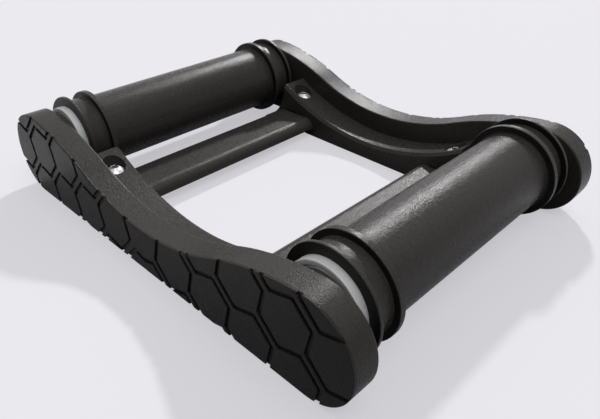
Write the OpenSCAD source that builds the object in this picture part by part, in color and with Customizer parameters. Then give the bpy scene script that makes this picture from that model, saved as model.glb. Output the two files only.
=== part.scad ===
// Spool roller stand: two side plates, two cross bars and two flanged rollers,
// each roller turning on a pair of shielded ball bearings.
// Millimetres. X runs across the rollers, Y along their axes, Z up from the base.

/* [Frame] */
// distance between the two roller axes
roller_gap = 114.4; // [104:0.1:130]
// height of the roller axes above the base
axle_height = 16.6; // [16.5:0.1:20]
// outside width over both side plates
frame_width = 110.8; // [106:0.1:130]
// thickness of a side plate, tiles included
plate_thick = 7.7; // [6:0.1:10]
// radius of a plate's round ends
end_radius = 13.5; // [12.5:0.1:15]
// how far an end's centre lies outside its roller axis
end_offset = 3.4; // [1:0.1:6]
// plate height at mid length
waist_height = 13; // [11.5:0.1:16]
// radius of the convex shoulder between waist and end
shoulder_radius = 85; // [60:1:110]
// lean of the shoulder where it meets the end
shoulder_lean = 3.5; // [0:0.1:6]

/* [Ledge] */
// width of the ledge inside each plate
ledge_width = 10.9; // [10:0.1:13]
// how far the ledge lies below the plate's top
ledge_drop = 7; // [4:0.1:8]
// bevel along the ledge's inner top edge
ledge_bevel = 1; // [0.3:0.1:1.5]
// gap between the ledge and a roller's flanges
flange_gap = 2.9; // [1.5:0.1:3]
// how near the ledge's foot comes to the roller axis
foot_inset = 5.2; // [3:0.1:8]

/* [Honeycomb] */
// distance between neighbouring tiles
cell_pitch = 14.5; // [12:0.1:18]
// lean of the tile rows
cell_skew = 8.5; // [4:0.5:12]
// depth of the lines between the tiles
line_depth = 0.6; // [0.3:0.1:1.2]
// width of the lines
line_width = 1.2; // [0.5:0.1:1.8]
// width of the links that join the tiles into slanted rows
link_width = 1.4; // [0.8:0.1:3]
// first tile's distance from mid length
cell_x = 55.1; // [48:0.1:60]
// first tile's height
cell_z = 16.5; // [10:0.1:20]

/* [Rollers] */
// height of the flanges above the groove bottoms
flange_height = 1.9; // [1.2:0.1:2.2]
// roller wall outside a bearing, at the groove bottoms
floor_wall = 1.1; // [0.8:0.1:1.6]
// the same between the inner flanges
core_wall = 0.7; // [0.5:0.1:1.4]
// thickness of an outer flange
outer_flange = 1.1; // [0.8:0.1:1.6]
// thickness of an inner flange
inner_flange = 1.8; // [1:0.1:2.4]
// width of a groove
groove_width = 5.7; // [4.5:0.1:6.5]
// bevel on the flange rims
rim_bevel = 0.3; // [0.1:0.05:0.4]
// width of the step that a bearing seats on
seat_step = 1.2; // [0.8:0.1:1.3]
// depth of the relief behind a bearing's inner ring
relief_depth = 1; // [0.5:0.1:2]
// height of the bosses between plates and bearings
boss_height = 1.6; // [0.6:0.1:3]

/* [Bearings] */
// outside diameter of a bearing
bearing_od = 22; // [21.8:0.1:22.4]
// bore of a bearing
bearing_id = 8; // [7:0.1:8.5]
// width of a bearing
bearing_width = 7; // [6.6:0.1:8]
// how far a bearing stands out of its roller
bearing_proud = 2.2; // [1:0.1:3]
// thickness of an outer ring beside its track
outer_wall = 2; // [1.8:0.1:2.2]
// thickness of an inner ring beside its track
inner_wall = 2.1; // [1.8:0.1:2.2]
// ball diameter
ball_diameter = 3.969; // [3.6:0.001:4]
// balls in a bearing
ball_count = 7; // [5:1:8]
// running clearance at the balls
ball_gap = 0.05; // [0.02:0.01:0.08]
// clearance between axle and bearing bore
axle_gap = 0.02; // [0.01:0.01:0.08]
// thickness of the cages
cage_thick = 1.5; // [1.2:0.1:1.8]
// cage width beyond the balls, each side
cage_rim = 0.6; // [0.3:0.05:0.7]
// how far the shields lie inside a bearing's faces
shield_sink = 0.6; // [0.5:0.05:0.7]
// thickness of the shields
shield_thick = 0.25; // [0.15:0.05:0.3]
// clearance between a shield and the inner ring
shield_gap = 0.4; // [0.3:0.05:0.6]

/* [Bars] */
// height of the bars' flat tops
bar_top = 7.1; // [6.4:0.1:7.6]
// thickness of the bars between the ledges
bar_thick = 3.8; // [3:0.1:5]
// rounding along the bars' straight side
bar_round = 1.2; // [0.4:0.1:2]
// distance from a roller axis to its bar's straight side
bar_back = 15.9; // [15.4:0.1:16.5]
// distance from a roller axis to its bar's round side
bar_nose = 32.7; // [30:0.1:36]
// width of the tongue at each end of a bar
tongue_width = 12.2; // [11:0.1:13]
// how far a tongue reaches into its ledge
tongue_length = 9.3; // [8.8:0.1:9.6]
// clearance beside and beyond a tongue
tongue_gap = 0.15; // [0.05:0.05:0.3]
// how far the tongues clear the base
tongue_lift = 0.2; // [0.1:0.1:0.6]

/* [Screws] */
// distance from a roller axis to its screws
screw_inset = 22.2; // [21.8:0.1:22.8]
// screw diameter
screw_diameter = 3; // [2.5:0.1:3.2]
// screw length below the head
screw_length = 10; // [9:0.5:11]
// head diameter
head_diameter = 5.7; // [5:0.1:6.2]
// head height
head_height = 1.65; // [1.2:0.05:2]
// height of a head's straight edge
head_edge = 0.2; // [0.1:0.05:0.5]
// width across the flats of the key socket
socket_width = 2; // [1.5:0.1:2.5]
// depth of the key socket
socket_depth = 1; // [0.7:0.1:1.2]
// clearance around a head in its recess
recess_gap = 0.65; // [0.4:0.05:0.9]
// clearance around a shank in the ledge
shank_gap = 0.2; // [0.1:0.05:0.4]
// ledge thickness left under a head
roof_thick = 4.9; // [4:0.1:5.2]
// outside diameter of the threaded inserts
insert_od = 4.2; // [4:0.1:4.6]
// length of the threaded inserts
insert_length = 4; // [3:0.1:5]

/* [Hidden] */
$fn = 96;
past = 1;
bite = 0.1;
edge = 0.3;
axis_x = roller_gap / 2;
face_out = frame_width / 2;
face_in = face_out - plate_thick;
ledge_in = face_in - ledge_width;
end_x = axis_x + end_offset;
plate_end = end_x + end_radius;
lean_reach = shoulder_radius - end_radius;
shoulder_x = end_x + lean_reach * sin(shoulder_lean);
shoulder_z = end_radius - lean_reach * cos(shoulder_lean);
waist_rise = waist_height - shoulder_z;
waist_radius = (shoulder_x * shoulder_x + waist_rise * waist_rise
    - shoulder_radius * shoulder_radius) / (2 * (shoulder_radius - waist_rise));
waist_z = waist_height + waist_radius;
turn_x = shoulder_x * waist_radius / (waist_radius + shoulder_radius);
join_x = end_x - end_radius * sin(shoulder_lean);
ledge_radius = waist_radius + ledge_drop;
bearing_face = face_in - boss_height;
bearing_mid = bearing_face - bearing_width / 2;
bearing_back = bearing_face - bearing_width;
half_width = bearing_width / 2;
outer_radius = bearing_od / 2;
bore_radius = bearing_id / 2;
axle_radius = bore_radius - axle_gap;
outer_land = outer_radius - outer_wall;
inner_land = bore_radius + inner_wall;
boss_radius = inner_land - bite;
circle_radius = (outer_radius + bore_radius) / 2;
race_radius = ball_diameter / 2 + ball_gap;
shield_in = half_width - shield_sink;
shield_seat = outer_land + shield_sink;
roller_end = bearing_face - bearing_proud;
core_radius = outer_radius + core_wall;
floor_radius = outer_radius + floor_wall;
flange_radius = floor_radius + flange_height;
relief_radius = outer_radius - seat_step;
clear_radius = flange_radius + flange_gap;
seat_z = bar_top + roof_thick;
screw_x = axis_x - screw_inset;
screw_y = face_in - ledge_width / 2;
hole_diameter = screw_diameter + 2 * shank_gap;
bar_out_x = axis_x - bar_back;
bar_in_x = axis_x - bar_nose;
bar_floor = bar_top - bar_thick;
tongue_x = bar_out_x - tongue_gap;
pocket_in_x = tongue_x - tongue_width - tongue_gap;
insert_z = bar_top - bite;
cell_angle = 15;
tile_side = cell_pitch * cos(cell_angle - cell_skew) / 2 - line_width / 2;
tile_slant = cell_pitch * cos(45 + cell_skew) - link_width / 2 - line_width;
link_length = cell_pitch * (cos(cell_skew) + sin(cell_skew)) * sqrt(2) + bite;
tile_base = face_out - line_depth;

// a round bar along Y from y0 to y1
module shaft(x, z, r, y0, y1) {
    translate([x, y1, z]) rotate([90, 0, 0]) cylinder(r = r, h = y1 - y0);
}

// a tapered round bar along Y, radius ra at y0 and rb at y1
module taper(x, z, ra, rb, y0, y1) {
    translate([x, y1, z]) rotate([90, 0, 0]) cylinder(r1 = rb, r2 = ra, h = y1 - y0);
}

module block(x0, x1, y0, y1, z0, z1) {
    translate([x0, y0, z0]) cube([x1 - x0, y1 - y0, z1 - z0]);
}

// a ring about Y made from a profile of [radius, y] points
module turned(points) {
    rotate([-90, 0, 0]) rotate_extrude() polygon(points);
}

// the children, and their mirror image across mid length
module both_ends() {
    children();
    mirror([1, 0, 0]) children();
}

// the children, and their mirror image across mid width
module both_sides() {
    children();
    mirror([0, 1, 0]) children();
}

// the plate's outline, between y0 and y1
module outline(y0, y1) {
    difference() {
        block(-turn_x, turn_x, y0, y1, 0, 2 * end_radius);
        shaft(0, waist_z, waist_radius, y0 - past, y1 + past);
    }
    both_ends() {
        shaft(end_x, end_radius, end_radius, y0, y1);
        block(join_x, end_x, y0, y1, 0, end_radius);
        intersection() {
            shaft(shoulder_x, shoulder_z, shoulder_radius, y0, y1);
            block(turn_x, join_x, y0, y1, 0, 2 * end_radius);
        }
    }
}

// where two tile edges meet: edge normals at a and b degrees, u and v from the centre
function meet(a, u, b, v) = [
    (u * sin(b) - v * sin(a)) / sin(b - a),
    (v * cos(a) - u * cos(b)) / sin(b - a)
];

// three corners of a tile; the other three lie opposite
half_tile = [
    meet(-cell_angle, tile_side, 45, tile_slant), meet(45, tile_slant, 90 + cell_angle, tile_side),
    meet(90 + cell_angle, tile_side, 180 - cell_angle, tile_side)
];
tile = concat(half_tile, [for (p = half_tile) -p]);

// one half of the tile pattern, from mid length to the end
module half_tiles(y0, y1) {
    reach = max(norm(tile[0]), link_length / 2);
    columns = ceil(plate_end / cell_pitch) + 1;
    rows = ceil(2 * end_radius / cell_pitch);
    for (i = [-columns : columns], j = [-rows : rows]) {
        px = cell_x + cell_pitch * (i * cos(cell_skew) - j * sin(cell_skew));
        pz = cell_z + cell_pitch * (j * cos(cell_skew) - i * sin(cell_skew));
        if (px > -reach && px < plate_end + reach && pz > -reach && pz < 2 * end_radius + reach)
            translate([px, y1, pz]) rotate([90, 0, 0]) {
                linear_extrude(y1 - y0) polygon(tile);
                rotate([0, 0, -45]) translate([-link_length / 2, -link_width / 2, 0])
                    cube([link_length, link_width, y1 - y0]);
            }
    }
}

module tiles(y0, y1) {
    both_ends() intersection() {
        half_tiles(y0, y1);
        block(0, plate_end + past, y0, y1, 0, 2 * end_radius);
    }
}

// the boss that bears on an inner ring, and the axle stub beyond it
module axle() {
    tip = bearing_back + edge;
    shaft(axis_x, axle_height, boss_radius, bearing_face, face_in + bite);
    shaft(axis_x, axle_height, axle_radius, tip + edge, face_in + bite);
    taper(axis_x, axle_height, axle_radius - edge, axle_radius, tip, tip + edge);
}

// the ledge inside the far plate, hollowed like the plate and cut clear of the flanges
module ledge() {
    foot_x = axis_x - foot_inset;
    difference() {
        block(-foot_x, foot_x, ledge_in, face_in + bite, 0, 2 * end_radius);
        shaft(0, waist_z, ledge_radius, ledge_in - past, face_in + past);
        taper(0, waist_z, ledge_radius + 2 * ledge_bevel, ledge_radius,
            ledge_in - ledge_bevel, ledge_in + ledge_bevel);
        both_ends() shaft(axis_x, axle_height, clear_radius, ledge_in - past, face_in);
    }
}

// the far plate; the near one is its mirror image
module plate() {
    difference() {
        union() {
            outline(face_in, tile_base);
            intersection() {
                outline(tile_base - bite, face_out);
                tiles(tile_base - bite, face_out);
            }
            ledge();
            both_ends() axle();
        }
        both_ends() {
            translate([screw_x, screw_y, seat_z])
                cylinder(d = head_diameter + 2 * recess_gap, h = 2 * end_radius);
            translate([screw_x, screw_y, 0]) cylinder(d = hole_diameter, h = 2 * end_radius);
            block(pocket_in_x, bar_out_x, ledge_in - past, ledge_in + tongue_length + tongue_gap,
                -past, bar_top);
        }
    }
}

// a cross bar on the positive X side: round nose inwards, a deep tongue in each ledge
module bar() {
    tongue_end = ledge_in + tongue_length;
    tongue_in_x = tongue_x - tongue_width;
    nose_x = bar_in_x + bar_thick;
    flat_x = bar_out_x - bar_round;
    difference() {
        union() {
            intersection() {
                shaft(nose_x, bar_floor, bar_thick, -ledge_in, ledge_in);
                block(bar_in_x, nose_x + bite, -ledge_in, ledge_in, bar_floor, bar_top);
            }
            block(nose_x, flat_x, -ledge_in, ledge_in, bar_floor, bar_top);
            block(flat_x, bar_out_x, -ledge_in, ledge_in, bar_floor, bar_top - bar_round);
            shaft(flat_x, bar_top - bar_round, bar_round, -ledge_in, ledge_in);
            block(tongue_in_x, flat_x, -tongue_end, tongue_end, bar_floor, bar_top);
            both_sides() block(tongue_in_x, tongue_x, ledge_in, tongue_end, tongue_lift, bar_top);
        }
        both_sides() translate([screw_x, screw_y, 0]) {
            translate([0, 0, insert_z - insert_length]) cylinder(d = insert_od, h = bar_top);
            translate([0, 0, seat_z - screw_length - edge]) cylinder(d = hole_diameter, h = bar_top);
        }
    }
}

// a roller about Y, centred, with a pocket for a bearing at each end
module roller_body() {
    b = rim_bevel;
    r = flange_radius;
    y3 = roller_end - outer_flange;
    y2 = y3 - groove_width;
    y1 = y2 - inner_flange;
    half = [
        [core_radius, y1], [r - b, y1], [r, y1 + b], [r, y2 - b], [r - b, y2],
        [floor_radius, y2], [floor_radius, y3], [r - b, y3], [r, y3 + b],
        [r, roller_end - b], [r - b, roller_end], [outer_radius, roller_end],
        [outer_radius, bearing_back], [relief_radius, bearing_back],
        [relief_radius, bearing_back - relief_depth], [0, bearing_back - relief_depth]
    ];
    last = len(half) - 1;
    turned(concat(half, [for (i = [last : -1 : 0]) [half[i][0], -half[i][1]]]));
}

module at_axis(sx) translate([sx * axis_x, 0, axle_height]) children();
module at_bearing(sx, sy) translate([sx * axis_x, sy * bearing_mid, axle_height]) children();

module ball_track() {
    rotate([90, 0, 0]) rotate_extrude() translate([circle_radius, 0]) circle(r = race_radius);
}

module each_ball() {
    for (i = [0 : ball_count - 1])
        rotate([0, i * 360 / ball_count, 0]) translate([circle_radius, 0, 0]) children();
}

module outer_ring() {
    r = outer_radius;
    h = half_width;
    difference() {
        turned([
            [outer_land, -shield_in], [shield_seat, -shield_in], [shield_seat, -h], [r - edge, -h],
            [r, edge - h], [r, h - edge], [r - edge, h], [shield_seat, h], [shield_seat, shield_in],
            [outer_land, shield_in]
        ]);
        ball_track();
    }
}

module inner_ring() {
    r = bore_radius;
    h = half_width;
    difference() {
        turned([
            [r, edge - h], [r + edge, -h], [inner_land - edge, -h], [inner_land, edge - h],
            [inner_land, h - edge], [inner_land - edge, h], [r + edge, h], [r, h - edge]
        ]);
        ball_track();
    }
}

module ball_set() each_ball() sphere(d = ball_diameter);

module cage() {
    w = ball_diameter / 2 + cage_rim;
    r0 = circle_radius - cage_thick / 2;
    r1 = circle_radius + cage_thick / 2;
    difference() {
        turned([[r0, -w], [r1, -w], [r1, w], [r0, w]]);
        each_ball() rotate([0, 90, 0]) cylinder(r = race_radius, h = 2 * cage_thick, center = true);
    }
}

module shields() {
    r0 = inner_land + shield_gap;
    for (s = [-1, 1]) translate([0, s * (shield_in + shield_thick / 2), 0])
        rotate([90, 0, 0]) difference() {
            cylinder(r = shield_seat, h = shield_thick, center = true);
            cylinder(r = r0, h = 2 * shield_thick, center = true);
        }
}

module screw() {
    rise = head_height - head_edge;
    dome = rise / 2 + head_diameter * head_diameter / (8 * rise);
    difference() {
        union() {
            intersection() {
                cylinder(d = head_diameter, h = head_height);
                translate([0, 0, head_height - dome]) sphere(r = dome);
            }
            translate([0, 0, -screw_length])
                cylinder(r = screw_diameter / 2 - axle_gap, h = screw_length + bite);
        }
        translate([0, 0, head_height - socket_depth])
            cylinder(d = socket_width / cos(30), h = head_height, $fn = 6);
    }
}

module insert() {
    difference() {
        translate([0, 0, -insert_length]) cylinder(d = insert_od, h = insert_length);
        translate([0, 0, -insert_length - past]) cylinder(d = screw_diameter, h = insert_length + 2 * past);
    }
}

module each_screw(z) {
    for (sx = [-1, 1], sy = [-1, 1]) translate([sx * screw_x, sy * screw_y, z]) children();
}

module near_plate() color([0.1, 0.1, 0.1]) mirror([0, 1, 0]) plate();
module far_plate() color([0.1, 0.1, 0.1]) plate();
module rear_bar() color([0.13, 0.13, 0.13]) mirror([1, 0, 0]) bar();
module front_bar() color([0.13, 0.13, 0.13]) bar();
module rear_roller() color([0.16, 0.16, 0.16]) at_axis(-1) roller_body();
module front_roller() color([0.16, 0.16, 0.16]) at_axis(1) roller_body();
module rear_near_outer_ring() color([0.75, 0.76, 0.78]) at_bearing(-1, -1) outer_ring();
module rear_near_inner_ring() color([0.7, 0.71, 0.73]) at_bearing(-1, -1) inner_ring();
module rear_near_balls() color([0.85, 0.85, 0.87]) at_bearing(-1, -1) ball_set();
module rear_near_cage() color([0.6, 0.55, 0.4]) at_bearing(-1, -1) cage();
module rear_near_shields() color([0.5, 0.5, 0.52]) at_bearing(-1, -1) shields();
module rear_far_outer_ring() color([0.75, 0.76, 0.78]) at_bearing(-1, 1) outer_ring();
module rear_far_inner_ring() color([0.7, 0.71, 0.73]) at_bearing(-1, 1) inner_ring();
module rear_far_balls() color([0.85, 0.85, 0.87]) at_bearing(-1, 1) ball_set();
module rear_far_cage() color([0.6, 0.55, 0.4]) at_bearing(-1, 1) cage();
module rear_far_shields() color([0.5, 0.5, 0.52]) at_bearing(-1, 1) shields();
module front_near_outer_ring() color([0.75, 0.76, 0.78]) at_bearing(1, -1) outer_ring();
module front_near_inner_ring() color([0.7, 0.71, 0.73]) at_bearing(1, -1) inner_ring();
module front_near_balls() color([0.85, 0.85, 0.87]) at_bearing(1, -1) ball_set();
module front_near_cage() color([0.6, 0.55, 0.4]) at_bearing(1, -1) cage();
module front_near_shields() color([0.5, 0.5, 0.52]) at_bearing(1, -1) shields();
module front_far_outer_ring() color([0.75, 0.76, 0.78]) at_bearing(1, 1) outer_ring();
module front_far_inner_ring() color([0.7, 0.71, 0.73]) at_bearing(1, 1) inner_ring();
module front_far_balls() color([0.85, 0.85, 0.87]) at_bearing(1, 1) ball_set();
module front_far_cage() color([0.6, 0.55, 0.4]) at_bearing(1, 1) cage();
module front_far_shields() color([0.5, 0.5, 0.52]) at_bearing(1, 1) shields();
module frame_screws() color([0.8, 0.8, 0.82]) each_screw(seat_z) screw();
module thread_inserts() color([0.75, 0.6, 0.3]) each_screw(insert_z) insert();

near_plate();
far_plate();
rear_bar();
front_bar();
rear_roller();
front_roller();
rear_near_outer_ring();
rear_near_inner_ring();
rear_near_balls();
rear_near_cage();
rear_near_shields();
rear_far_outer_ring();
rear_far_inner_ring();
rear_far_balls();
rear_far_cage();
rear_far_shields();
front_near_outer_ring();
front_near_inner_ring();
front_near_balls();
front_near_cage();
front_near_shields();
front_far_outer_ring();
front_far_inner_ring();
front_far_balls();
front_far_cage();
front_far_shields();
frame_screws();
thread_inserts();
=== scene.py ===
import math

import bmesh
import bpy
from mathutils import Matrix, Vector


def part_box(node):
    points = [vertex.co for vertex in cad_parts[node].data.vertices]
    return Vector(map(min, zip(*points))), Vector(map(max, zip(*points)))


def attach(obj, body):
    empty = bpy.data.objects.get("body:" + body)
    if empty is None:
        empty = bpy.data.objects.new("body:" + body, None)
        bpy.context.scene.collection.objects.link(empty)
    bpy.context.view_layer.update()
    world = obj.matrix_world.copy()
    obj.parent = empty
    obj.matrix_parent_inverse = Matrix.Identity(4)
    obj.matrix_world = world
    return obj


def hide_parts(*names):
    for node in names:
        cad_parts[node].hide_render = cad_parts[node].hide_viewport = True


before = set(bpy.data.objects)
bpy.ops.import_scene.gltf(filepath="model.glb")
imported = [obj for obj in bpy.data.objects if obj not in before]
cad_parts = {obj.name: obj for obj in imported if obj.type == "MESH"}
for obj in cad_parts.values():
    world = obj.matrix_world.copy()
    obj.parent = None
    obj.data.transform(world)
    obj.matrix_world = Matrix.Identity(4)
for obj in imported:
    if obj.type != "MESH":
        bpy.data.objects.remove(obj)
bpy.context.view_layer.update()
mm = 0.001


# measures that every piece shares, read from the frame

def nodeBox(node):
    low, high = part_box(node)
    return low / mm, high / mm


plateLow, plateHigh = nodeBox("far_plate")
rollerLow, rollerHigh = nodeBox("front_roller")
ringLow, ringHigh = nodeBox("front_far_outer_ring")
coreLow, coreHigh = nodeBox("front_far_inner_ring")
barLow, barHigh = nodeBox("front_bar")
screwLow, screwHigh = nodeBox("frame_screws")
insertLow, insertHigh = nodeBox("thread_inserts")

axisX = (ringLow.x + ringHigh.x) / 2
axisZ = (ringLow.z + ringHigh.z) / 2
flangeRadius = (rollerHigh.z - rollerLow.z) / 2
rollerEnd = rollerHigh.y
ringRadius = (ringHigh.z - ringLow.z) / 2
ringFace = ringHigh.y
ringBack = ringLow.y
ledgeIn = plateLow.y
faceOut = plateHigh.y
plateEnd = plateHigh.x
headRadius = 2.85  # M3 button heads are 5.7 mm across
screwX = screwHigh.x - headRadius
screwY = screwHigh.y - headRadius
bothWays = (-1, 1)
bothEnds = (("rear", -1), ("front", 1))
bothRows = (("near", -1), ("far", 1))
print("frame read: rollers", round(2 * axisX, 1), "mm apart")


# small mesh tools, all in millimetres

tiny = 1e-6
almostHalf = 0.499
almostStraight = math.radians(89.5)
past = 1.0  # how far a cutter reaches beyond what it cuts


def arc(cx, cz, radius, start, stop, steps):
    turns = [math.radians(start + (stop - start) * i / steps) for i in range(steps + 1)]
    return [(cx + radius * math.cos(t), cz + radius * math.sin(t)) for t in turns]


def rounded(corners, steps=5):
    # a closed outline; each corner is (a, b, radius)
    points = []
    for i, (a, b, radius) in enumerate(corners):
        here = Vector((a, b))
        back = Vector(corners[i - 1][:2]) - here
        ahead = Vector(corners[(i + 1) % len(corners)][:2]) - here
        sharp = radius <= 0 or min(back.length, ahead.length) < tiny
        half = 0 if sharp else back.angle(ahead) / 2
        if sharp or half > almostStraight:
            points.append((a, b))
            continue
        longest = min(back.length, ahead.length) * almostHalf
        reach = min(radius / math.tan(half), longest)
        size = reach * math.tan(half)
        centre = here + (back.normalized() + ahead.normalized()).normalized() * (size / math.sin(half))
        first = here + back.normalized() * reach - centre
        last = here + ahead.normalized() * reach - centre
        sweep = first.angle_signed(last)
        for k in range(steps + 1):
            spoke = first.copy()
            spoke.rotate(Matrix.Rotation(-sweep * k / steps, 2))
            points.append(tuple(centre + spoke))
    return points


def loft(shape, loops, closed=False):
    # skins a row of loops, and caps its ends or joins the last loop to the first
    rings = [[shape.verts.new(point) for point in loop] for loop in loops]
    count = len(rings[0])
    following = rings[1:] + (rings[:1] if closed else [])
    for lower, upper in zip(rings, following):
        for i in range(count):
            j = (i + 1) % count
            shape.faces.new((lower[i], lower[j], upper[j], upper[i]))
    if not closed:
        shape.faces.new(list(reversed(rings[0])))
        shape.faces.new(rings[-1])


def ringPoints(radiusAt, z, segments):
    # a level ring about the Z axis; radiusAt gives the radius at each turn
    turns = [2 * math.pi * i / segments for i in range(segments)]
    return [(radiusAt(turn) * math.cos(turn), radiusAt(turn) * math.sin(turn), z) for turn in turns]


def lathe(shape, profile, centre, segments=192):
    # turns a closed outline of (radius, y) points about a line along Y
    cx, cz = centre
    rings = []
    for radius, y in profile:
        if radius < tiny:
            rings.append([shape.verts.new((cx, y, cz))] * segments)
            continue
        ring = []
        for i in range(segments):
            turn = 2 * math.pi * i / segments
            ring.append(shape.verts.new((cx + radius * math.cos(turn), y, cz + radius * math.sin(turn))))
        rings.append(ring)
    for lower, upper in zip(rings, rings[1:] + rings[:1]):
        for i in range(segments):
            j = (i + 1) % segments
            corners = list(dict.fromkeys((lower[i], lower[j], upper[j], upper[i])))
            if len(corners) > 2:
                shape.faces.new(corners)


def newShape():
    return bmesh.new()


def addMesh(shape, mesh):
    shape.from_mesh(mesh)
    bpy.data.meshes.remove(mesh)


def toMesh(shape, name, flipY=False):
    bmesh.ops.recalc_face_normals(shape, faces=shape.faces)
    if flipY:
        for vert in shape.verts:
            vert.co.y = -vert.co.y
        bmesh.ops.reverse_faces(shape, faces=shape.faces)
    mesh = bpy.data.meshes.new(name)
    shape.to_mesh(mesh)
    shape.free()
    return mesh


def asObject(mesh, name):
    made = bpy.data.objects.new(name, mesh)
    bpy.context.scene.collection.objects.link(made)
    return made


def frozen(made):
    # the mesh of an object with its modifiers done; the object itself goes
    bpy.context.view_layer.update()
    graph = bpy.context.evaluated_depsgraph_get()
    mesh = bpy.data.meshes.new_from_object(made.evaluated_get(graph))
    bpy.data.objects.remove(made)
    return mesh


def addBoolean(made, operation, tool):
    step = made.modifiers.new("boolean", "BOOLEAN")
    step.operation = operation
    step.solver = "EXACT"
    step.object = tool
    return step


def addBevel(made, width, segments):
    step = made.modifiers.new("bevel", "BEVEL")
    step.width = width
    step.segments = segments
    step.limit_method = "ANGLE"
    step.angle_limit = math.radians(35)
    return step


def carve(mesh, cutters, bevel=0):
    # cuts closed shapes out of a mesh, then rounds what is sharp
    body = asObject(mesh, "carved")
    tools = []
    for cutter in cutters:
        tool = asObject(toMesh(cutter, "cutter"), "cutter")
        tools.append(tool)
        addBoolean(body, "DIFFERENCE", tool)
    if bevel:
        addBevel(body, bevel, 3)
    mesh = frozen(body)
    for tool in tools:
        bpy.data.objects.remove(tool)
    return mesh


def cylinderShape(x, y, z0, z1, radius, segments=96):
    shape = newShape()
    ring = [(x + p, y + q) for p, q in arc(0, 0, radius, 0, 360, segments)[:-1]]
    loft(shape, [[(p, q, z) for p, q in ring] for z in (z0, z1)])
    return shape


def boxShape(low, high):
    shape = newShape()
    corners = ((low[0], low[1]), (high[0], low[1]), (high[0], high[1]), (low[0], high[1]))
    loft(shape, [[(x, y, z) for x, y in corners] for z in (low[2], high[2])])
    return shape


def finishPiece(mesh, name, body, material, nodes=(), smoothAngle=32):
    # scales to metres, shades, parents the piece to its body and hides the CAD parts it stands in for
    mesh.transform(Matrix.Scale(mm, 4))
    mesh.polygons.foreach_set("use_smooth", [True] * len(mesh.polygons))
    mesh.set_sharp_from_angle(angle=math.radians(smoothAngle))
    mesh.materials.clear()
    mesh.materials.append(material)
    piece = asObject(mesh, name)
    even = piece.modifiers.new("evenNormals", "WEIGHTED_NORMAL")
    even.keep_sharp = True
    even.weight = 90
    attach(piece, body)
    if nodes:
        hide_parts(*nodes)


# node trees, for shaders and for what repeats

class Wire:
    # a socket; Python's operators on it add Math nodes
    def __init__(self, owner, socket):
        self.owner = owner
        self.socket = socket

    def maths(self, operation, other=None, swap=False):
        pair = (other, self) if swap else (self, other)
        sockets = {i: value for i, value in enumerate(pair) if value is not None}
        return self.owner.node("ShaderNodeMath", {"operation": operation}, sockets)

    def __add__(self, other):
        return self.maths("ADD", other)

    def __sub__(self, other):
        return self.maths("SUBTRACT", other)

    def __mul__(self, other):
        return self.maths("MULTIPLY", other)

    def __rsub__(self, other):
        return self.maths("SUBTRACT", other, swap=True)

    __radd__ = __add__
    __rmul__ = __mul__

    def size(self):
        return self.maths("ABSOLUTE")

    def root(self):
        return self.maths("SQRT")

    def clipped(self):
        return self.owner.node("ShaderNodeClamp", {}, {"Value": self})

    def band(self, low, high):
        # 0 below low, 1 above high, smooth between
        sockets = {"Value": self, "From Min": low, "From Max": high}
        return self.owner.node("ShaderNodeMapRange", {"interpolation_type": "SMOOTHSTEP"}, sockets)


class NodeSet:
    # a tree of shader or geometry nodes, with one method that adds any node
    def __init__(self, tree):
        self.tree = tree

    def node(self, kind, settings, sockets, output=0):
        made = self.tree.nodes.new(kind)
        for key, value in settings.items():
            setattr(made, key, value)
        for key, value in sockets.items():
            self.feed(made.inputs[key], value)
        return Wire(self, made.outputs[output])

    def feed(self, socket, value):
        if isinstance(value, Wire):
            self.tree.links.new(value.socket, socket)
        else:
            socket.default_value = value

    def rays(self):
        # 1 for what the eye sees, and 1 for what the eye, reflections and glass see
        path = self.tree.nodes.new("ShaderNodeLightPath")
        kinds = ("Camera", "Glossy", "Transmission")
        eye, mirrored, through = [Wire(self, path.outputs[f"Is {kind} Ray"]) for kind in kinds]
        return eye, (eye + mirrored + through).clipped()


class Shader(NodeSet):
    # a material with a Principled surface, read in Object coordinates
    def __init__(self, name):
        self.material = bpy.data.materials.new(name)
        self.material.use_nodes = True
        super().__init__(self.material.node_tree)
        self.surface = self.tree.nodes["Principled BSDF"]
        self.place = self.node("ShaderNodeTexCoord", {}, {}, "Object")

    def set(self, **values):
        # Base_Color stands for the socket "Base Color"
        for key, value in values.items():
            self.feed(self.surface.inputs[key.replace("_", " ")], value)

    def noise(self, scale, detail=2.0, roughness=0.5, vector=None):
        return self.node("ShaderNodeTexNoise", {}, {
            "Vector": vector or self.place, "Scale": scale, "Detail": detail, "Roughness": roughness})

    def axes(self):
        split = self.tree.nodes.new("ShaderNodeSeparateXYZ")
        self.tree.links.new(self.place.socket, split.inputs[0])
        return [Wire(self, split.outputs[i]) for i in range(3)]

    def vector(self, x, y, z):
        return self.node("ShaderNodeCombineXYZ", {}, {0: x, 1: y, 2: z})

    def fromRollerAxis(self):
        # the distance to the nearer roller's axis
        x, _, z = self.axes()
        return distance(x.size() - axisX * mm, z - axisZ * mm)

    def blend(self, amount, first, second):
        mix = self.tree.nodes.new("ShaderNodeMix")
        mix.data_type = "RGBA"
        self.feed(mix.inputs[0], amount)
        self.feed(mix.inputs[6], first)
        self.feed(mix.inputs[7], second)
        return Wire(self, mix.outputs[2])

    def bump(self, height, look):
        return self.node("ShaderNodeBump", {}, {
            "Height": height, "Strength": look["bumpStrength"], "Distance": look["bumpDepth"]})


def distance(first, second):
    return (first * first + second * second).root()


def grey(value, warm=0.0):
    return (value * (1 + warm), value, value * (1 - warm), 1.0)


# materials

# painted shade on the roller's flange walls and end faces: a darker colour and a little more roughness
# there
flangeWallShadeLook = {
    "low": 12.2, "high": 13.7, "soft": 0.2, "endReach": 0.08, "shade": 0.3, "dullness": 0.12,
}


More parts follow.
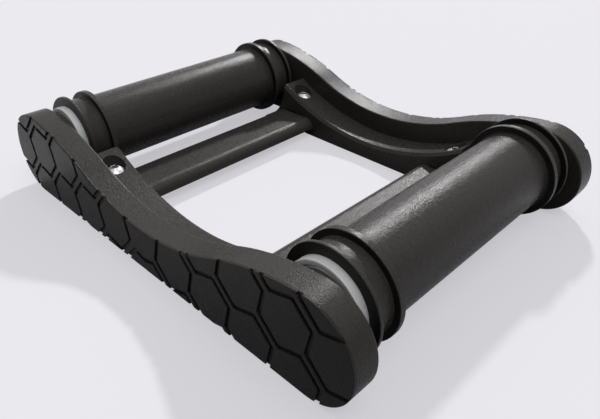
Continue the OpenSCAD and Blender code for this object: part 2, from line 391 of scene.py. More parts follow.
def flangeWallShade(shader):
    # a mask of painted shade: 1 on the flat sides of the roller flanges and on the roller's ends, else 0
    look = flangeWallShadeLook
    radius = shader.fromRollerAxis()
    wall = radius.band(look["low"] * mm, (look["low"] + look["soft"]) * mm)
    rim = radius.band(look["high"] * mm, (look["high"] + look["soft"]) * mm)
    along = shader.axes()[1].size()
    ends = along.band((rollerEnd - look["endReach"]) * mm, (rollerEnd - look["endReach"] / 4) * mm)
    return ((wall + ends) * (1.0 - rim)).clipped()


# painted shade on the side plates' outer faces, which are darkened
plateFaceShadeLook = {"depth": 0.7, "soft": 0.1, "shade": 0.62, "dullness": 0.03}


def plateFaceShade(shader):
    # a mask of painted shade: 1 on the engraved outer faces of the side plates, else 0
    start = faceOut - plateFaceShadeLook["depth"]
    return shader.axes()[1].size().band(start * mm, (start + plateFaceShadeLook["soft"]) * mm)


sandedPlasticLook = {
    "dark": 0.04, "light": 0.054, "warmth": 0.075,
    "grainScale": 2300.0, "pitScale": 900.0, "cloudScale": 70.0,
    "grainShare": 0.65, "speckRange": (0.36, 0.66), "speckShare": 0.6,
    "roughness": 0.22, "cloudRoughness": 0.06, "speckRoughness": 0.1,
    "bumpStrength": 0.45, "bumpDepth": 0.00008,
}


def sandedPlastic(name, tone=1.0, gloss=0.0, shine=0.09, paintedShadePart=None, paintedShadeLook=None):
    # fine sandy grain over slow clouds, as on a matt printed part, with painted shade under an optional
    # mask
    look = sandedPlasticLook
    shader = Shader(name)
    grain = shader.noise(look["grainScale"], 3.0, 0.65)
    pits = shader.noise(look["pitScale"], 2.0, 0.55)
    cloud = shader.noise(look["cloudScale"], 4.0, 0.6)
    mixed = grain * look["grainShare"] + pits * (1 - look["grainShare"])
    speck = mixed.band(*look["speckRange"])
    shade = (speck * look["speckShare"] + cloud * (1 - look["speckShare"])).clipped()
    colour = shader.blend(
        shade, grey(look["dark"] * tone, look["warmth"]), grey(look["light"] * tone, look["warmth"]))
    unevenness = cloud * look["cloudRoughness"] + speck * look["speckRoughness"]
    roughness = unevenness + (look["roughness"] - gloss)
    if paintedShadePart:
        # painted shade: the colour is darkened under the mask, and the roughness raised there
        where = paintedShadePart(shader)
        colour = shader.blend(where, colour, grey(look["dark"] * paintedShadeLook["shade"], look["warmth"]))
        roughness = roughness + where * paintedShadeLook["dullness"]
    shader.set(Base_Color=colour)
    shader.set(Roughness=roughness.clipped())
    shader.set(Normal=shader.bump(speck, look))
    shader.set(Specular_IOR_Level=shine)
    return shader.material


turnedSteelLook = {
    "colour": 0.7, "dim": 0.8, "bright": 1.12, "warmth": -0.01,
    "lineScale": 9000.0, "smudgeScale": 160.0,
    "roughness": 0.28, "lineRoughness": 0.12, "smudgeRoughness": 0.14,
    "bumpStrength": 0.25, "bumpDepth": 0.00002,
}


def turnedSteel(name, brightness=1.0, dullness=0.0, metal=0.5):
    # fine rings around the roller axis, with faint smudges
    look = turnedSteelLook
    shader = Shader(name)
    along = shader.axes()[1]
    rings = shader.vector(shader.fromRollerAxis(), along, 0.0)
    lines = shader.noise(look["lineScale"], 2.0, 0.6, rings)
    smudge = shader.noise(look["smudgeScale"], 3.0, 0.6)
    unevenness = lines * look["lineRoughness"] + smudge * look["smudgeRoughness"]
    tone = look["colour"] * brightness
    dim, bright = (grey(tone * look[key], look["warmth"]) for key in ("dim", "bright"))
    shader.set(Base_Color=shader.blend(lines * 0.5 + smudge * 0.5, dim, bright))
    shader.set(Metallic=metal)
    shader.set(Roughness=(unevenness + (look["roughness"] + dullness)).clipped())
    shader.set(Normal=shader.bump(lines, look))
    return shader.material


plainMetalLook = {
    "dim": 0.78, "bright": 1.1, "mottleRange": (0.3, 0.7), "fineness": 6,
    "mottleRoughness": 0.16, "fineRoughness": 0.08, "bumpStrength": 0.3,
}


def plainMetal(name, colour, roughness, grainScale, bumpDepth):
    # polished, pressed or turned metal with a soft mottle
    look = dict(plainMetalLook, bumpDepth=bumpDepth)
    shader = Shader(name)
    mottle = shader.noise(grainScale, 3.0, 0.6)
    fine = shader.noise(grainScale * look["fineness"], 2.0, 0.5)
    unevenness = mottle * look["mottleRoughness"] + fine * look["fineRoughness"]
    dim, bright = ([min(1.0, c * look[key]) for c in colour] + [1.0] for key in ("dim", "bright"))
    shader.set(Base_Color=shader.blend(mottle.band(*look["mottleRange"]), dim, bright))
    shader.set(Metallic=1.0)
    shader.set(Roughness=(unevenness + roughness).clipped())
    shader.set(Normal=shader.bump(fine, look))
    return shader.material


zincPlateLook = {
    "bright": 0.88, "mottled": 0.66, "mottleScale": 700.0, "mottleRange": (0.3, 0.7),
    "socketShade": 0.3, "socketReach": 1.08, "socketSoft": 0.12,
    "roughness": 0.24, "mottleRoughness": 0.12,
}


def zincPlate(name):
    # satin plating, with painted shade in the key socket in the middle of each head
    look = zincPlateLook
    shader = Shader(name)
    x, y, _ = shader.axes()
    centred = distance(x.size() - screwX * mm, y.size() - screwY * mm)
    rim = centred.band(look["socketReach"] * mm, (look["socketReach"] + look["socketSoft"]) * mm)
    mottle = shader.noise(look["mottleScale"], 3.0, 0.6).band(*look["mottleRange"])
    plated = shader.blend(mottle, grey(look["mottled"]), grey(look["bright"]))
    # painted shade: the colour inside the key socket is darkened
    shader.set(Base_Color=shader.blend(rim, grey(look["bright"] * look["socketShade"]), plated))
    shader.set(Metallic=0.5)
    shader.set(Roughness=mottle * look["mottleRoughness"] + look["roughness"])
    return shader.material


# the plate plastic carries painted shade on its outer faces, the roller plastic on its flange walls and
# ends
platePlastic = sandedPlastic("sandedPlatePlastic", paintedShadePart=plateFaceShade, paintedShadeLook=plateFaceShadeLook)
barPlastic = sandedPlastic("sandedBarPlastic", tone=1.05)
rollerPlastic = sandedPlastic(
    "sandedRollerPlastic", gloss=0.03, shine=0.12, paintedShadePart=flangeWallShade, paintedShadeLook=flangeWallShadeLook)
ringSteel = turnedSteel("groundRingSteel", 1.24, 0.0, 0.05)
innerSteel = turnedSteel("groundInnerSteel", 1.0, 0.04)
shieldSteel = turnedSteel("pressedShieldSteel", 0.85, 0.08, 0.3)
ballSteel = plainMetal("polishedBallSteel", (0.82, 0.83, 0.85), 0.02, 240.0, 0.000004)
cageSteel = plainMetal("pressedCageSteel", (0.5, 0.49, 0.47), 0.24, 900.0, 0.00001)
screwSteel = zincPlate("zincScrewSteel")
insertBrass = plainMetal("turnedInsertBrass", (0.78, 0.6, 0.3), 0.2, 800.0, 0.00001)
print("materials made")


# side plates

plate = {
    "thick": 7.7, "waistHeight": 13.0, "endRadius": 13.5, "endOffset": 3.4,
    "shoulderRadius": 85.0, "shoulderLean": 3.5, "edgeRound": 0.5, "edgeSteps": 4, "steps": 40,
}
faceIn = faceOut - plate["thick"]
endX = axisX + plate["endOffset"]
leanTurn = math.radians(plate["shoulderLean"])
leanReach = plate["shoulderRadius"] - plate["endRadius"]
shoulderX = endX + leanReach * math.sin(leanTurn)
shoulderZ = plate["endRadius"] - leanReach * math.cos(leanTurn)
waistRise = plate["waistHeight"] - shoulderZ
waistRadius = (shoulderX ** 2 + waistRise ** 2 - plate["shoulderRadius"] ** 2) / (
    2 * (plate["shoulderRadius"] - waistRise))
waistZ = plate["waistHeight"] + waistRadius


def plateOutline(inset=0.0):
    # the dog-bone, moved inwards by inset; every arc keeps its centre
    steps = plate["steps"]
    lean = plate["shoulderLean"]
    meet = math.degrees(math.atan2(waistZ - shoulderZ, -shoulderX))
    right = arc(endX, plate["endRadius"], plate["endRadius"] - inset, -90, 90 + lean, steps)
    right += arc(shoulderX, shoulderZ, plate["shoulderRadius"] - inset, 90 + lean, meet, steps)[1:]
    right += arc(0, waistZ, waistRadius + inset, meet - 180, -90, steps)[1:]
    left = [(-x, z) for x, z in reversed(right[:-1])]
    return right + left


def plateCore():
    # the slab behind the tiles, its inner edge rounded
    size = plate["edgeRound"]
    back = faceOut - tiles["lineDepth"]
    shape = newShape()
    stations = []
    for k in range(plate["edgeSteps"] + 1):
        turn = math.radians(90 * k / plate["edgeSteps"])
        stations.append((faceIn + size * (1 - math.cos(turn)), size * (1 - math.sin(turn))))
    stations += [(back - tiles["baseRound"], 0.0), (back, tiles["baseRound"])]
    loft(shape, [[(x, y, z) for x, z in plateOutline(inset)] for y, inset in stations])
    return toMesh(shape, "core")


# honeycomb tiles on the outer faces

tiles = {
    "pitch": 14.5, "skew": 8.5, "lineDepth": 0.6, "lineWidth": 1.2, "linkWidth": 1.4,
    "firstX": 55.1, "firstZ": 16.5, "columns": range(-5, 4), "rows": range(-2, 3), "reach": 0.83,
    "edgeRound": 0.2, "baseRound": 0.12, "sink": 0.15, "seam": 0.08,
}


def tileCorners():
    # six corners from three strips, at -15, 45 and 105 degrees
    pitch, width = tiles["pitch"], tiles["lineWidth"]
    side = pitch * math.cos(math.radians(15 - tiles["skew"])) / 2 - width / 2
    slant = pitch * math.cos(math.radians(45 + tiles["skew"])) - tiles["linkWidth"] / 2 - width
    sides = [(-15, side), (45, slant), (105, side), (165, side), (225, slant), (285, side)]
    corners = []
    for (a, u), (b, v) in zip(sides, sides[1:] + sides[:1]):
        a, b = math.radians(a), math.radians(b)
        span = math.sin(b - a)
        x = (u * math.sin(b) - v * math.sin(a)) / span
        z = (v * math.cos(a) - u * math.cos(b)) / span
        corners.append((x, z))
    return corners


def tilePattern(low, high):
    # hexagons and the slanted links that join them corner to corner, for the positive X half
    shape = newShape()
    margin = tiles["reach"] * tiles["pitch"]
    skew = math.radians(tiles["skew"])
    ux, uz = tiles["pitch"] * math.cos(skew), tiles["pitch"] * math.sin(skew)
    for i in tiles["columns"]:
        for j in tiles["rows"]:
            cx = tiles["firstX"] + ux * i - uz * j
            cz = tiles["firstZ"] + ux * j - uz * i
            if -margin < cx < plateEnd + margin and -margin < cz < 2 * plate["endRadius"] + margin:
                loft(shape, [[(cx + x, y, cz + z) for x, z in tileCorners()] for y in (low, high)])
    half = tiles["linkWidth"] / math.sqrt(2)
    for k in tiles["columns"]:
        cx, cz = tiles["firstX"] + ux * k, tiles["firstZ"] - uz * k
        run = 3 * plateEnd
        ends = ((cx - run, cz + run), (cx - run + half, cz + run + half),
                (cx + run + half, cz - run + half), (cx + run, cz - run))
        loft(shape, [[(x - half / 2, y, z - half / 2) for x, z in ends] for y in (low, high)])
    return shape


def plateTiles():
    # the outer skin, cut by the pattern, mirrored at mid length and eased along every line
    shape = newShape()
    base = faceOut - tiles["lineDepth"] - tiles["sink"]
    loft(shape, [[(x, y, z) for x, z in plateOutline()] for y in (base, faceOut)])
    skin = asObject(toMesh(shape, "skin"), "skin")
    tool = asObject(toMesh(tilePattern(base - past, faceOut + past), "pattern"), "pattern")
    addBoolean(skin, "INTERSECT", tool).use_self = True
    halves = skin.modifiers.new("halves", "MIRROR")
    halves.use_bisect_axis[0] = True
    halves.merge_threshold = 0.001
    weld = skin.modifiers.new("weld", "WELD")
    weld.merge_threshold = tiles["seam"]
    addBevel(skin, tiles["edgeRound"], 2).use_clamp_overlap = False
    mesh = frozen(skin)
    bpy.data.objects.remove(tool)
    return mesh


# ledge inside each plate

ledge = {
    "drop": 7.0, "bevel": 1.0, "flangeGap": 2.9, "footInset": 5.2, "edgeRound": 0.25, "overlap": 0.6,
    "recess": 3.5, "recessReach": 20, "hole": 1.7, "roof": 4.9, "pocketLength": 9.45, "pocketGap": 0.15,
    "clearSteps": 28, "topSteps": 40,
}
ledgeRadius = waistRadius + ledge["drop"]
clearRadius = flangeRadius + ledge["flangeGap"]
seatZ = barHigh.z + ledge["roof"]


def ledgeOutline(lower):
    # foot, clearance arc around the flanges, and the hollow top moved down by lower
    footX = axisX - ledge["footInset"]
    footZ = axisZ - math.sqrt(clearRadius ** 2 - ledge["footInset"] ** 2)
    topRadius = ledgeRadius + lower
    reach = math.hypot(axisX, waistZ - axisZ)
    lean = math.atan2(waistZ - axisZ, -axisX)
    along = (clearRadius ** 2 - topRadius ** 2 + reach ** 2) / (2 * reach)
    crossing = math.degrees(lean + math.acos(along / clearRadius))
    tipX = axisX + clearRadius * math.cos(math.radians(crossing))
    tipZ = axisZ + clearRadius * math.sin(math.radians(crossing))
    start = math.degrees(math.atan2(footZ - axisZ, footX - axisX)) + 360
    right = [(footX, 0.0)] + arc(axisX, axisZ, clearRadius, start, crossing, ledge["clearSteps"])
    tipTurn = math.degrees(math.atan2(tipZ - waistZ, tipX))
    right += arc(0, waistZ, topRadius, tipTurn, -90, ledge["topSteps"])[1:]
    return right + [(-x, z) for x, z in reversed(right[:-1])]


def plateLedge():
    shape = newShape()
    bevel = ledge["bevel"]
    stations = [(ledgeIn, bevel), (ledgeIn + bevel, 0.0), (faceIn + ledge["overlap"], 0.0)]
    loft(shape, [[(x, y, z) for x, z in ledgeOutline(lower)] for y, lower in stations])
    cutters = []
    for side in bothWays:
        x, wellTop = side * screwX, seatZ + ledge["recessReach"]
        cutters.append(cylinderShape(x, screwY, seatZ, wellTop, ledge["recess"]))
        cutters.append(cylinderShape(x, screwY, -past, seatZ + past, ledge["hole"]))
        gap = ledge["pocketGap"]
        xs = sorted((side * (tongueIn - gap), side * (tongueOut + gap)))
        end = ledgeIn + ledge["pocketLength"]
        cutters.append(boxShape((xs[0], ledgeIn - past, -past), (xs[1], end, barHigh.z)))
    return carve(toMesh(shape, "ledge"), cutters, ledge["edgeRound"])


# bosses and axle stubs, moulded with the plates

axle = {
    "bossRadius": 6.0, "radius": 3.98, "tipGap": 0.3, "tipBevel": 0.3, "edgeRound": 0.25,
    "rootDepth": 0.3, "segments": 96,
}


def plateAxle(side):
    tip = ringBack + axle["tipGap"]
    root = faceIn + axle["rootDepth"]
    shape = newShape()
    profile = [
        (0, tip, 0), (axle["radius"], tip, axle["tipBevel"]), (axle["radius"], ringFace, 0),
        (axle["bossRadius"], ringFace, axle["edgeRound"]), (axle["bossRadius"], root, 0), (0, root, 0)]
    lathe(shape, rounded(profile, steps=3), (side * axisX, axisZ), axle["segments"])
    return toMesh(shape, "axle")


def sidePlate(name, flip):
    whole = newShape()
    for mesh in (plateCore(), plateTiles(), plateLedge(), plateAxle(-1), plateAxle(1)):
        addMesh(whole, mesh)
    mesh = toMesh(whole, name, flipY=flip)
    finishPiece(mesh, name + "_shell", "frame", platePlastic, [name])


# cross bars

bar = {
    "thick": 3.8, "backRound": 1.2, "footRound": 0.3, "tongueWidth": 12.2, "tongueLength": 9.3,
    "tongueGap": 0.15, "tongueRoot": 0.5, "insertHole": 2.1, "shankHole": 1.7, "tipRoom": 0.3,
    "holeOverlap": 0.5, "holeSegments": 48, "backSteps": 10, "noseSteps": 28, "footSteps": 6,
}
tongueOut = barHigh.x - bar["tongueGap"]
tongueIn = tongueOut - bar["tongueWidth"]


def crossBar(name, side):
    # a thin bar with a quarter-round nose, and a deep tongue at each end
    thick, back, foot = bar["thick"], bar["backRound"], bar["footRound"]
    under = barHigh.z - thick
    outline = arc(barHigh.x - back, barHigh.z - back, back, 0, 90, bar["backSteps"])
    outline += arc(barLow.x + thick, under, thick, 90, 180, bar["noseSteps"])
    outline += arc(barHigh.x - foot, under + foot, foot, 270, 360, bar["footSteps"])
    section = [(side * x, z) for x, z in outline]
    whole = newShape()
    loft(whole, [[(x, y, z) for x, z in section] for y in (-ledgeIn, ledgeIn)])
    for end in bothWays:
        ys = sorted((end * (ledgeIn - bar["tongueRoot"]), end * (ledgeIn + bar["tongueLength"])))
        xs = sorted((side * tongueIn, side * tongueOut))
        tongue = toMesh(boxShape((xs[0], ys[0], barLow.z), (xs[1], ys[1], barHigh.z)), "tongue")
        x, y = side * screwX, end * screwY
        bores = (
            (insertLow.z, barHigh.z + past, bar["insertHole"]),
            (screwLow.z - bar["tipRoom"], insertLow.z + bar["holeOverlap"], bar["shankHole"]))
        holes = [cylinderShape(x, y, z0, z1, radius, bar["holeSegments"]) for z0, z1, radius in bores]
        addMesh(whole, carve(tongue, holes))
    mesh = toMesh(whole, name)
    finishPiece(mesh, name + "_shell", "frame", barPlastic, [name])


for plateName, flip in (("far_plate", False), ("near_plate", True)):
    sidePlate(plateName, flip)
for end, side in bothEnds:
    crossBar(end + "_bar", side)
print("plates and bars made")


# rollers

roller = {
    "outerFlange": 1.1, "groove": 5.7, "innerFlange": 1.8, "floorRadius": 12.1, "coreRadius": 11.7,
    "rimRound": 0.22, "footRound": 0.2, "mouthRound": 0.15, "reliefRadius": 9.8, "reliefDepth": 1.0,
    "segments": 224,
}


def rollerShell(name, side, body):
    rim, foot = roller["rimRound"], roller["footRound"]
    y3 = rollerEnd - roller["outerFlange"]
    y2 = y3 - roller["groove"]
    y1 = y2 - roller["innerFlange"]
    relief = ringBack - roller["reliefDepth"]
    core, floor, bore = roller["coreRadius"], roller["floorRadius"], roller["reliefRadius"]
    half = [
        (core, y1, foot), (flangeRadius, y1, rim), (flangeRadius, y2, rim),
        (floor, y2, foot), (floor, y3, foot), (flangeRadius, y3, rim),
        (flangeRadius, rollerEnd, rim), (ringRadius, rollerEnd, roller["mouthRound"]),
        (ringRadius, ringBack, 0), (bore, ringBack, 0), (bore, relief, 0), (0, relief, 0)]
    corners = half + [(r, -y, size) for r, y, size in reversed(half)]
    shape = newShape()
    lathe(shape, rounded(corners, steps=4), (side * axisX, axisZ), roller["segments"])
    mesh = toMesh(shape, name)
    finishPiece(mesh, name + "_shell", body, rollerPlastic, [name])


# bearings

bearing = {
    "boreRadius": 4.0, "outerLand": 9.0, "edgeRound": 0.35, "lipRound": 0.1, "innerRound": 0.2,
    "boreRound": 0.3, "ballTrack": 2.034, "trackSteps": 12, "balls": 7, "ballSize": 3.969,
    "segments": 160, "innerSegments": 96,
}
shield = {
    "sink": 0.6, "thick": 0.25, "gap": 0.4, "dish": 0.16, "segments": 128,
    "lipSteps": (0.3, 0.5, 0.55), "rimSteps": (0.35, 0.55, 0.8, 0.9, 1.0),
}
ringHalf = (ringFace - ringBack) / 2
ringMid = (ringFace + ringBack) / 2
innerLand = (coreHigh.z - coreLow.z) / 2
ballCircle = (ringRadius + bearing["boreRadius"]) / 2


def trackArc(land, inwards):
    # the groove that the balls run in, as (radius, y) points across a land
    deep = bearing["ballTrack"]
    rise = abs(land - ballCircle)
    half = math.degrees(math.acos(rise / deep))
    middle = 180 if inwards else 0
    return arc(ballCircle, 0, deep, middle - half, middle + half, bearing["trackSteps"])


def bearingRings(end, row, side, way):
    centre = (side * axisX, axisZ)
    y0 = way * ringMid
    size = bearing["edgeRound"]
    land, lipSize = bearing["outerLand"], bearing["lipRound"]
    seat = land + shield["sink"]
    sink = ringHalf - shield["sink"]
    outline = rounded([
        (seat, -ringHalf, lipSize), (ringRadius, -ringHalf, size), (ringRadius, ringHalf, size),
        (seat, ringHalf, lipSize), (seat, sink, 0), (land, sink, 0)], steps=4)
    outline += list(reversed(trackArc(land, False))) + [(land, -sink), (seat, -sink)]
    shape = newShape()
    lathe(shape, [(r, y0 + y) for r, y in outline], centre, bearing["segments"])
    body = end + "_roller_body"
    node = f"{end}_{row}_outer_ring"
    finishPiece(toMesh(shape, node), node + "_ground", body, ringSteel, [node])

    bore, size = bearing["boreRadius"], bearing["innerRound"]
    outline = rounded([
        (innerLand, ringHalf, size), (bore, ringHalf, bearing["boreRound"]),
        (bore, -ringHalf, bearing["boreRound"]), (innerLand, -ringHalf, size)], steps=3)
    outline += list(reversed(trackArc(innerLand, True)))
    shape = newShape()
    lathe(shape, [(r, y0 + y) for r, y in outline], centre, bearing["innerSegments"])
    node = f"{end}_{row}_inner_ring"
    finishPiece(toMesh(shape, node), node + "_ground", "frame", innerSteel, [node])

    # each shield is a pressed dish: crimped rim, flat step, turned-in lip
    lip = innerLand + shield["gap"]
    lips = [lip + step for step in shield["lipSteps"]]
    rims = [seat - step for step in shield["rimSteps"]]
    whole = newShape()
    for face in bothWays:
        inside = face * sink
        outside = face * (sink + shield["thick"])
        dish = face * (sink + shield["thick"] + shield["dish"])
        section = [
            (lip, inside), (lips[1], inside), (rims[3], inside), (seat, inside), (seat, outside),
            (rims[0], outside), (rims[1], dish), (rims[2], dish), (rims[4], outside),
            (lips[2], outside), (lips[0], dish), (lip, dish)]
        lathe(whole, [(r, y0 + y) for r, y in section], centre, shield["segments"])
    node = f"{end}_{row}_shields"
    finishPiece(toMesh(whole, node), node + "_pressed", body, shieldSteel, [node])


for end, side in bothEnds:
    rollerShell(end + "_roller", side, end + "_roller_body")
    for row, way in bothRows:
        bearingRings(end, row, side, way)
print("rollers and bearing rings made")


# what repeats, with Geometry Nodes

class Recipe(NodeSet):
    # a Geometry Nodes tree with named inputs
    def __init__(self, name, inputs):
        super().__init__(bpy.data.node_groups.new(name, "GeometryNodeTree"))
        face = self.tree.interface
        self.keys = {}
        for label, kind, value in inputs:
            made = face.new_socket(name=label, in_out="INPUT", socket_type=kind)
            if value is not None:
                made.default_value = value
            self.keys[label] = made.identifier
        face.new_socket(name="Geometry", in_out="OUTPUT", socket_type="NodeSocketGeometry")
        self.entry = self.tree.nodes.new("NodeGroupInput")
        self.exit = self.tree.nodes.new("NodeGroupOutput")

    def input(self, label):
        return Wire(self, self.entry.outputs[label])

    def close(self, geometry, material):
        real = self.node("GeometryNodeRealizeInstances", {}, {0: geometry})
        done = self.node("GeometryNodeSetMaterial", {}, {"Geometry": real, "Material": material})
        self.feed(self.exit.inputs[0], done)

    def run(self, name, values):
        carrier = asObject(bpy.data.meshes.new(name), name)
        step = carrier.modifiers.new(name, "NODES")
        step.node_group = self.tree
        for label, value in values.items():
            step[self.keys[label]] = value
        return frozen(carrier)


# balls

def ballRecipe():
    recipe = Recipe("ballSet", [
        ("Balls", "NodeSocketInt", bearing["balls"]), ("Circle Radius", "NodeSocketFloat", 1.0),
        ("Ball Radius", "NodeSocketFloat", 1.0), ("Centre", "NodeSocketVector", None)])
    ring = recipe.node("GeometryNodeMeshCircle", {}, {
        "Vertices": recipe.input("Balls"), "Radius": recipe.input("Circle Radius")})
    upright = recipe.node("GeometryNodeTransform", {}, {
        "Geometry": ring, "Rotation": (math.pi / 2, 0, 0)})
    placed = recipe.node("GeometryNodeTransform", {}, {
        "Geometry": upright, "Translation": recipe.input("Centre")})
    ball = recipe.node("GeometryNodeMeshUVSphere", {}, {
        "Segments": 40, "Rings": 24, "Radius": recipe.input("Ball Radius")})
    smooth = recipe.node("GeometryNodeSetShadeSmooth", {}, {0: ball})
    copies = recipe.node("GeometryNodeInstanceOnPoints", {}, {"Points": placed, "Instance": smooth})
    recipe.close(copies, ballSteel)
    return recipe


balls = ballRecipe()
for end, side in bothEnds:
    for row, way in bothRows:
        node, body = f"{end}_{row}_balls", f"{end}_{row}_ball_cage"
        mesh = balls.run(node, {
            "Balls": bearing["balls"], "Circle Radius": ballCircle,
            "Ball Radius": bearing["ballSize"] / 2, "Centre": (side * axisX, way * ringMid, axisZ)})
        finishPiece(mesh, node + "_polished", body, ballSteel, [node], 60)
        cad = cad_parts[f"{end}_{row}_cage"]
        cad.data.materials.clear()
        cad.data.materials.append(cageSteel)
print("balls and cages made")


# screws and inserts

screw = {
    "headHeight": 1.65, "domeFactor": 1.24, "domeFrom": 1.45, "domeSteps": 8, "edgeRound": 0.18,
    "rimHeight": 0.25, "footHeight": 0.08, "footInset": 0.1,
    "socket": 2.0, "socketDepth": 1.0, "pointShare": 0.25, "pointDepth": 0.25,
    "mouthFrom": 0.2, "mouthTo": 0.04, "mouthFlare": 0.14,
    "shankRadius": 1.48, "threadPitch": 0.5, "threadDepth": 0.26, "threadStart": 0.25,
    "threadFall": 0.24, "threadEnd": 0.3, "tipHeight": 0.15, "tipInset": (0.1, 0.3), "segments": 72,
}


def screwMesh():
    # button head with a key socket, its rings running from the socket's bottom to the shank's tip
    head, high, shank = headRadius, screw["headHeight"], screw["shankRadius"]
    bottom = high - screw["socketDepth"]
    flat = screw["socket"] / 2

    def hexRadius(turn):
        return flat / math.cos((turn + math.pi / 6) % (math.pi / 3) - math.pi / 6)

    def plainRadius(radius):
        return lambda turn: radius

    rows = [
        (lambda turn: screw["pointShare"] * hexRadius(turn), bottom - screw["pointDepth"]),
        (hexRadius, bottom), (hexRadius, high - screw["mouthFrom"]),
        (lambda turn: hexRadius(turn) + screw["mouthFlare"], high - screw["mouthTo"])]
    dome = head * screw["domeFactor"]
    domeFrom, domeTo = screw["domeFrom"], head - screw["edgeRound"]
    for k in range(screw["domeSteps"] + 1):
        radius = domeFrom + (domeTo - domeFrom) * k / screw["domeSteps"]
        rows.append((plainRadius(radius), high - dome + math.sqrt(dome ** 2 - radius ** 2)))
    rows += [
        (plainRadius(head), screw["rimHeight"]), (plainRadius(head), screw["footHeight"]),
        (plainRadius(head - screw["footInset"]), 0.0), (plainRadius(shank), 0.0)]
    length = seatZ - screwLow.z
    pitch, root = screw["threadPitch"], shank - screw["threadDepth"]
    for k in range(int(length / pitch)):
        top = -screw["threadStart"] - k * pitch
        if top - pitch < screw["threadEnd"] - length:
            break
        rows += [(plainRadius(shank), top), (plainRadius(root), top - screw["threadFall"])]
    for z, inset in zip((screw["tipHeight"] - length, -length), screw["tipInset"]):
        rows.append((plainRadius(shank - inset), z))
    shape = newShape()
    loft(shape, [ringPoints(radiusAt, z, screw["segments"]) for radiusAt, z in rows])
    return toMesh(shape, "screw")


insert = {
    "radius": 2.1, "bore": 1.5, "knurls": 24, "knurlDepth": 0.18, "lead": 0.25, "leadRise": 0.3,
    "waist": 0.3, "waistShares": (0.42, 0.46, 0.54, 0.58),
}


def insertMesh():
    # knurled brass sleeve with a plain band at mid height
    top = insertHigh.z - insertLow.z

    def sleeve(less):
        def radiusAt(turn):
            ripple = 0.5 - 0.5 * math.cos(turn * insert["knurls"])
            return insert["radius"] - less - (insert["knurlDepth"] * ripple if less == 0 else 0)
        return radiusAt

    lead, rise, waist = insert["lead"], insert["leadRise"], insert["waist"]
    low, lowIn, highIn, high = [top * share for share in insert["waistShares"]]
    levels = [
        (0.0, lead), (rise, 0), (low, 0), (lowIn, waist),
        (highIn, waist), (high, 0), (top - rise, 0), (top, lead)]
    rows = [(sleeve(less), z) for z, less in levels]
    rows += [(lambda turn: insert["bore"], z) for z in (top, 0.0)]
    shape = newShape()
    loft(shape, [ringPoints(radiusAt, z, insert["knurls"] * 4) for radiusAt, z in rows], closed=True)
    return toMesh(shape, "insert")


def cornerRecipe(name, material):
    # sets one fastener at each corner of a rectangle
    recipe = Recipe(name, [
        ("Fastener", "NodeSocketObject", None), ("Spacing X", "NodeSocketFloat", 1.0),
        ("Spacing Y", "NodeSocketFloat", 1.0), ("Height", "NodeSocketFloat", 0.0)])
    corners = recipe.node("GeometryNodeMeshGrid", {}, {
        "Size X": recipe.input("Spacing X"), "Size Y": recipe.input("Spacing Y"),
        "Vertices X": 2, "Vertices Y": 2})
    lift = recipe.node("ShaderNodeCombineXYZ", {}, {2: recipe.input("Height")})
    raised = recipe.node("GeometryNodeTransform", {}, {"Geometry": corners, "Translation": lift})
    source = recipe.node("GeometryNodeObjectInfo", {}, {"Object": recipe.input("Fastener")}, "Geometry")
    copies = recipe.node("GeometryNodeInstanceOnPoints", {}, {"Points": raised, "Instance": source})
    recipe.close(copies, material)
    return recipe


for node, mesh, material, slot, height in (
        ("frame_screws", screwMesh(), screwSteel, "screw_steel", seatZ),
        ("thread_inserts", insertMesh(), insertBrass, "insert_brass", insertLow.z)):
    source = asObject(mesh, node + "_source")
    made = cornerRecipe(node + "Layout", material).run(node, {
        "Fastener": source, "Spacing X": 2 * screwX, "Spacing Y": 2 * screwY, "Height": height})
    bpy.data.objects.remove(source)
    finishPiece(made, node + "_detailed", "frame", material, [node], 35)
print("fasteners made")


# floor, light and camera

stage = {
    "floor": (0.815, 0.807, 0.847), "bounce": (0.1, 0.1, 0.1), "floorSize": 6.0,
    "glow": 0.6, "skyDim": 0.0, "skyBright": 0.5, "skyFrom": (-0.7, 0.6, 0.6), "skyEdge": -0.6,
    "skyTint": (1.0, 0.99, 0.98, 1.0),
    "keyFrom": (-0.42, 0.69, 0.59), "keyLevel": 0.48, "keySpread": 4.0,
    "topFrom": (0.42, -0.06, 0.85), "topLevel": 0.26, "topSpread": 45.0,
}


def softLight(name, source, level, spread):
    # a wide distant lamp that lights a level white floor to the given level
    data = bpy.data.lights.new(name, "SUN")
    data.angle = math.radians(spread)
    data.energy = math.pi * level / Vector(source).normalized().z
    lamp = bpy.data.objects.new(name, data)
    bpy.context.scene.collection.objects.link(lamp)
    lamp.rotation_euler = Vector(source).to_track_quat("Z", "Y").to_euler()


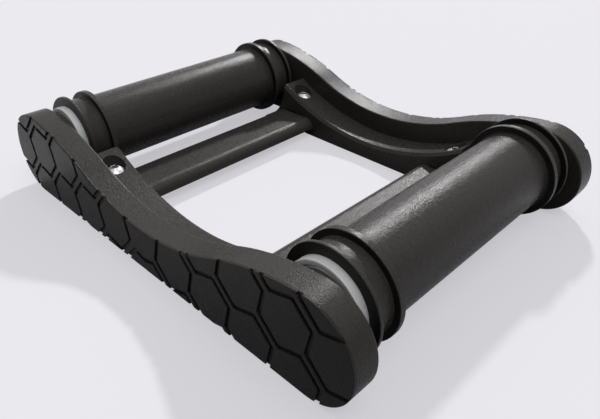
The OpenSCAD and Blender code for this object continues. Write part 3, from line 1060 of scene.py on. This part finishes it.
def makeFloor():
    half = stage["floorSize"] / 2 / mm
    shape = newShape()
    corners = ((-half, -half, 0), (half, -half, 0), (half, half, 0), (-half, half, 0))
    shape.faces.new([shape.verts.new(corner) for corner in corners])
    mesh = toMesh(shape, "floor")
    mesh.transform(Matrix.Scale(mm, 4))
    floor = asObject(mesh, "floor")
    # the eye and reflections see the pale floor; what it throws back on the object is plainer
    shader = Shader("paleFloor")
    shader.set(Base_Color=(*stage["floor"], 1.0), Roughness=0.95, Specular_IOR_Level=0.1)
    eye, seen = shader.rays()
    plain = shader.node("ShaderNodeBsdfDiffuse", {}, {"Color": (*stage["bounce"], 1.0)})
    shine = shader.node("ShaderNodeEmission", {}, {"Color": (*stage["floor"], 1.0)})
    lit = Wire(shader, shader.surface.outputs[0])
    pale = shader.node("ShaderNodeMixShader", {}, {0: eye * stage["glow"], 1: lit, 2: shine})
    mixed = shader.node("ShaderNodeMixShader", {}, {0: seen, 1: plain, 2: pale})
    shader.feed(shader.tree.nodes["Material Output"].inputs["Surface"], mixed)
    mesh.materials.append(shader.material)


def makeSky():
    # soft light, brightest behind and to the left; the eye sees a pale backdrop past the floor's edge
    world = bpy.data.worlds.new("studio")
    world.use_nodes = True
    sky = NodeSet(world.node_tree)
    place = sky.node("ShaderNodeTexCoord", {}, {}, "Generated")
    source = Vector(stage["skyFrom"]).normalized()
    dot = {"operation": "DOT_PRODUCT"}
    facing = sky.node("ShaderNodeVectorMath", dot, {0: place, 1: source}, "Value")
    level = sky.node("ShaderNodeMapRange", {}, {
        "Value": facing, "From Min": stage["skyEdge"],
        "To Min": stage["skyDim"], "To Max": stage["skyBright"]})
    soft = sky.node("ShaderNodeBackground", {}, {"Color": stage["skyTint"], "Strength": level})
    backdrop = sky.node("ShaderNodeBackground", {}, {"Color": (*stage["floor"], 1.0)})
    mixed = sky.node("ShaderNodeMixShader", {}, {0: sky.rays()[1], 1: soft, 2: backdrop})
    sky.feed(sky.tree.nodes["World Output"].inputs["Surface"], mixed)
    bpy.context.scene.world = world


camera = {
    "place": (0.1245, -0.1200, 0.1056), "tilt": (61.95, 0.24, 44.37),
    "lens": 36.6, "sensor": 36.0, "shift": (-0.0063, -0.0864), "nearest": 0.005,
}


def makeCamera():
    data = bpy.data.cameras.new("camera")
    data.lens = camera["lens"]
    data.sensor_width = camera["sensor"]
    data.shift_x, data.shift_y = camera["shift"]
    data.clip_start = camera["nearest"]
    view = bpy.data.objects.new("camera", data)
    bpy.context.scene.collection.objects.link(view)
    view.location = camera["place"]
    view.rotation_euler = [math.radians(turn) for turn in camera["tilt"]]
    bpy.context.scene.camera = view


makeFloor()
makeSky()
softLight("keyLight", stage["keyFrom"], stage["keyLevel"], stage["keySpread"])
softLight("topLight", stage["topFrom"], stage["topLevel"], stage["topSpread"])
makeCamera()
bpy.context.scene.view_settings.view_transform = "Standard"
print("stage set")
